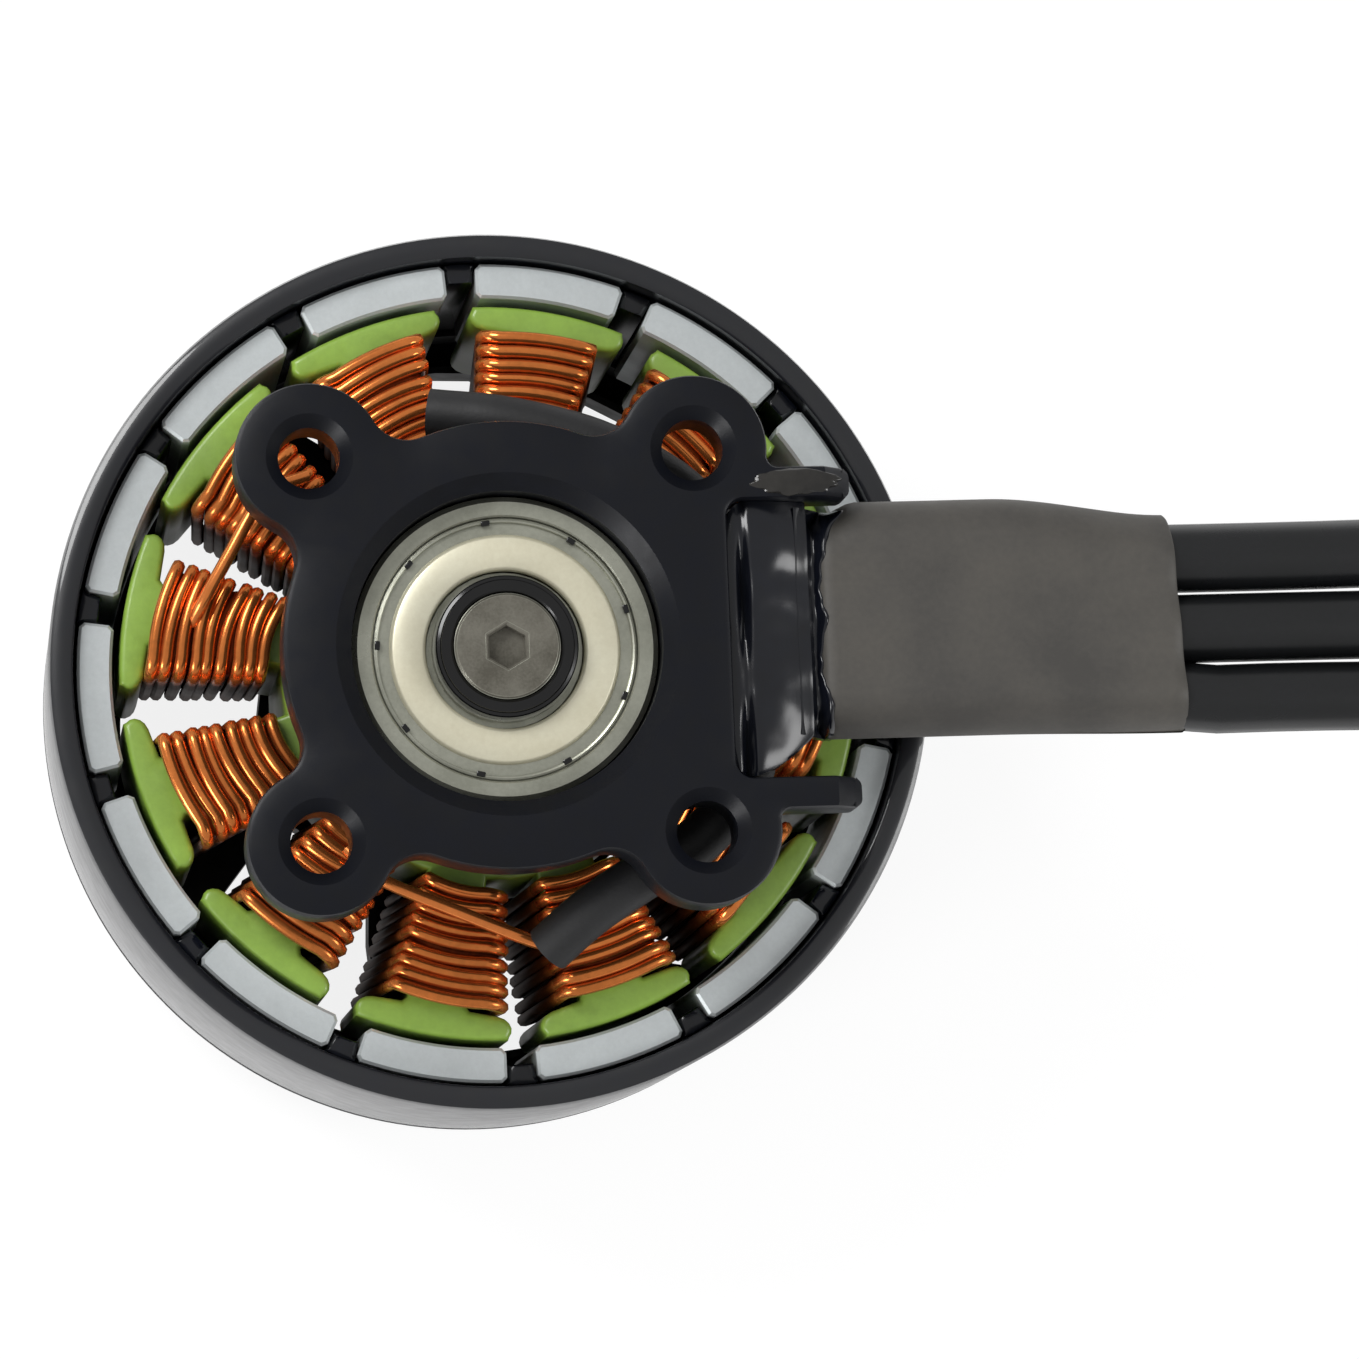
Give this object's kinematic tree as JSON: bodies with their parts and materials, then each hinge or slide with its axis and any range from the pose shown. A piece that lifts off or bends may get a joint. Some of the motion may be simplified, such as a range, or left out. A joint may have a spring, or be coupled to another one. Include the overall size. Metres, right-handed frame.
{
  "type": "brushless outrunner motor",
  "caption": "Brushless outrunner motor for a multirotor drone, bell down: cross-shaped mounting base, copper windings on a green stator, arc magnets in a black bell, and three black leads",
  "frame": {"origin": "centre of the propeller face, on the shaft's axis, where the motor stands on its bell", "axes": "+Z along the shaft from the propeller face to the mounting face, +X the way the leads leave"},
  "size_m": [0.1833, 0.05, 0.035],
  "materials": {
    "base_anodised": "satin black anodised",
    "core_epoxy": "green epoxy coat on laminations",
    "winding_copper": "enamelled copper wire",
    "bearing_steel": "ground bearing steel",
    "shield_steel": "pressed bright steel",
    "sleeve_black": "matt black sleeving",
    "potting_black": "glossy black potting",
    "shrink_black": "matt black heat-shrink",
    "lead_silicone": "black silicone insulation",
    "tinned_wire": "tinned copper strands",
    "bell_anodised": "satin black anodised",
    "ring_black": "satin black steel",
    "magnet_nickel": "nickel plated magnet",
    "shaft_steel": "ground steel",
    "screw_steel": "dark steel",
    "washer_black": "gloss black"
  },
  "bodies": {
    "stator": {"motor_base": "base_anodised", "stator_core": "core_epoxy", "coil_01": "winding_copper", "coil_02": "winding_copper", "coil_03": "winding_copper", "coil_04": "winding_copper", "coil_05": "winding_copper", "coil_06": "winding_copper", "coil_07": "winding_copper", "coil_08": "winding_copper", "coil_09": "winding_copper", "coil_10": "winding_copper", "coil_11": "winding_copper", "coil_12": "winding_copper", "base_bearing_outer_ring": "bearing_steel", "base_bearing_shield_top": "shield_steel", "base_bearing_shield_bottom": "shield_steel", "bell_bearing_outer_ring": "bearing_steel", "bell_bearing_shield_top": "shield_steel", "bell_bearing_shield_bottom": "shield_steel", "winding_sleeve_1": "sleeve_black", "winding_sleeve_2": "sleeve_black", "winding_sleeve_3": "sleeve_black", "potting": "potting_black", "lead_shrink": "shrink_black", "lead_1": "lead_silicone", "lead_2": "lead_silicone", "lead_3": "lead_silicone", "lead_1_tip": "tinned_wire", "lead_2_tip": "tinned_wire", "lead_3_tip": "tinned_wire"},
    "rotor": {"bell_cap": "bell_anodised", "flux_ring": "ring_black", "magnet_01": "magnet_nickel", "magnet_02": "magnet_nickel", "magnet_03": "magnet_nickel", "magnet_04": "magnet_nickel", "magnet_05": "magnet_nickel", "magnet_06": "magnet_nickel", "magnet_07": "magnet_nickel", "magnet_08": "magnet_nickel", "magnet_09": "magnet_nickel", "magnet_10": "magnet_nickel", "magnet_11": "magnet_nickel", "magnet_12": "magnet_nickel", "magnet_13": "magnet_nickel", "magnet_14": "magnet_nickel", "shaft": "shaft_steel", "shaft_screw": "screw_steel", "shaft_washer": "washer_black", "base_bearing_inner_ring": "bearing_steel", "bell_bearing_inner_ring": "bearing_steel"}
  },
  "joints": [
    {"name": "rotor_spin", "type": "hinge", "parent": "stator", "child": "rotor", "pos_m": [0, 0, 0.0175], "axis": [0, 0, 1], "continuous": true}
  ]
}
